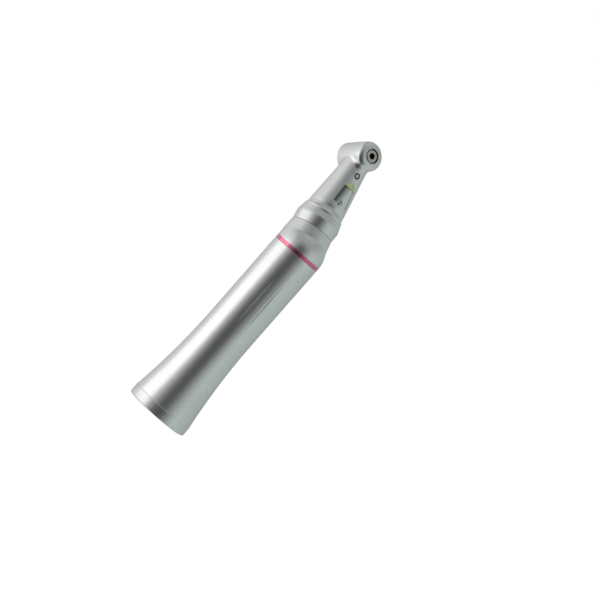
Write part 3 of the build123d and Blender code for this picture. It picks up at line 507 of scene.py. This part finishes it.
floor_mesh = bpy.data.meshes.new("floor")
sheet = bmesh.new()
bmesh.ops.create_circle(sheet, cap_ends=True, radius=FLOOR_RADIUS, segments=FLOOR_SIDES)
sheet.to_mesh(floor_mesh)
sheet.free()
floor = add_object("floor", floor_mesh)
floor.visible_glossy = False

paper = Finish("floor_paper", Emission_Color=(1.0, 1.0, 1.0, 1.0), Emission_Strength=0.7)
fibre = paper.noise(2 * MM, 4.0)
floor_mesh.materials.append(paper.give(
    Base_Color=paper.ramp(fibre, [(0.3, (0.84, 0.84, 0.84)), (0.7, (0.88, 0.88, 0.88))]),
    Roughness=paper.follow(fibre, 0.8, 0.95),
))

# Light from the walls: a colour at each turn in degrees, counted from the camera's direction
# round the grip. One ring of tones is near the level and one is higher; the ceiling's tones go
# by height.

LEVEL_CAMERA = Vector((TOWARD_CAMERA.x, TOWARD_CAMERA.y, 0)).normalized()
LEVEL_RIGHT = GRIP_AXIS.cross(LEVEL_CAMERA)
LOW_TONES = [
    (-180, (0.44, 0.46, 0.45)),
    (-140, (0.58, 0.58, 0.58)),
    (-112, (0.74, 0.74, 0.74)),
    (-58, (0.94, 0.94, 0.94)),
    (-36, (0.44, 0.44, 0.44)),
    (-16, (0.13, 0.13, 0.135)),
    (2, (0.09, 0.09, 0.093)),
    (18, (0.13, 0.135, 0.135)),
    (34, (0.31, 0.33, 0.32)),
    (60, (0.49, 0.55, 0.52)),
    (110, (0.43, 0.48, 0.46)),
    (150, (0.36, 0.40, 0.38)),
    (180, (0.44, 0.46, 0.45)),
]
HIGH_TONES = [
    (-180, (0.44, 0.46, 0.45)),
    (-110, (0.64, 0.64, 0.64)),
    (-70, (0.66, 0.66, 0.66)),
    (-30, (0.36, 0.36, 0.36)),
    (0, (0.125, 0.125, 0.128)),
    (25, (0.20, 0.205, 0.205)),
    (60, (0.48, 0.54, 0.51)),
    (120, (0.42, 0.47, 0.45)),
    (180, (0.44, 0.46, 0.45)),
]
CEILING_TONES = [(0.84, (0.33, 0.35, 0.34)), (0.98, (0.47, 0.49, 0.48))]

# Heights, as sines, over which one ring of tones gives way to the next
LOW_TO_HIGH = (0.12, 0.5)
HIGH_TO_CEILING = (0.52, 0.72)

# Dark places in the room: everything under the camera, and a faint spot above its level
DARK = (0.02, 0.02, 0.02, 1.0)
UNDER_LEVEL = (-0.05, -0.25)
NEAR_CAMERA = (0.6, 0.9)
SPOT_HEIGHT = math.radians(20)
SPOT_EDGE = (math.cos(math.radians(24)), math.cos(math.radians(10)))
SPOT_DEPTH = 0.4
SPOT_AXIS = LEVEL_CAMERA * math.cos(SPOT_HEIGHT) + GRIP_AXIS * math.sin(SPOT_HEIGHT)

world = bpy.data.worlds.new("studio")
world.use_nodes = True
scene.world = world
walls = Tree(world.node_tree)
direction = walls.add("TexCoord", out="Generated")
height = walls.add("SeparateXYZ", {0: direction}, out="Z")
ahead = walls.dot(direction, LEVEL_CAMERA)
turn = walls.calc("ARCTAN2", walls.dot(direction, LEVEL_RIGHT), ahead)
around = walls.spread(turn, -math.pi, math.pi)


def round_the_room(tones):
    """A ring of tones, each at its turn in degrees."""
    return walls.ramp(around, [((degrees + 180) / 360, tone) for degrees, tone in tones], "EASE")


ring = walls.blend(walls.spread(height, *LOW_TO_HIGH),
                   round_the_room(LOW_TONES), round_the_room(HIGH_TONES))
light = walls.blend(walls.spread(height, *HIGH_TO_CEILING),
                    ring, walls.ramp(height, CEILING_TONES))
below = walls.calc("MULTIPLY", walls.spread(height, *UNDER_LEVEL),
                   walls.spread(ahead, *NEAR_CAMERA))
spot = walls.spread(walls.dot(direction, SPOT_AXIS), *SPOT_EDGE, 0.0, SPOT_DEPTH)
room = walls.blend(walls.calc("MAXIMUM", below, spot), light, DARK)

# The camera itself sees plain white instead of the room
seen = walls.add("LightPath", out="Is Camera Ray")
lit = walls.add("Background", {"Color": room, "Strength": 1.0})
blank = walls.add("Background", {"Color": (1.0, 1.0, 1.0, 1.0), "Strength": 1.0})
mixed = walls.add("MixShader", {0: seen, 1: lit, 2: blank})
walls.feed(walls.tree.nodes["World Output"].inputs["Surface"], mixed)
walls.tree.nodes.remove(walls.tree.nodes["Background"])


def softbox(name, turn_angle, level_height, distance, width, height, radiance):
    """An upright lamp at a turn in degrees from the camera, facing the grip's axis."""
    lamp = bpy.data.lights.new(name, "AREA")
    lamp.shape = "RECTANGLE"
    lamp.size = width
    lamp.size_y = height
    lamp.energy = radiance * math.pi * width * height
    holder = add_object(name, lamp)
    turned = math.radians(turn_angle)
    outward = LEVEL_CAMERA * math.cos(turned) + LEVEL_RIGHT * math.sin(turned)
    set_down(holder, outward * distance + GRIP_AXIS * level_height,
             (GRIP_AXIS.cross(outward), GRIP_AXIS, outward))
    holder.visible_camera = False


softbox("key", turn_angle=-76, level_height=26 * MM, distance=160 * MM,
        width=160 * MM, height=92 * MM, radiance=0.43)
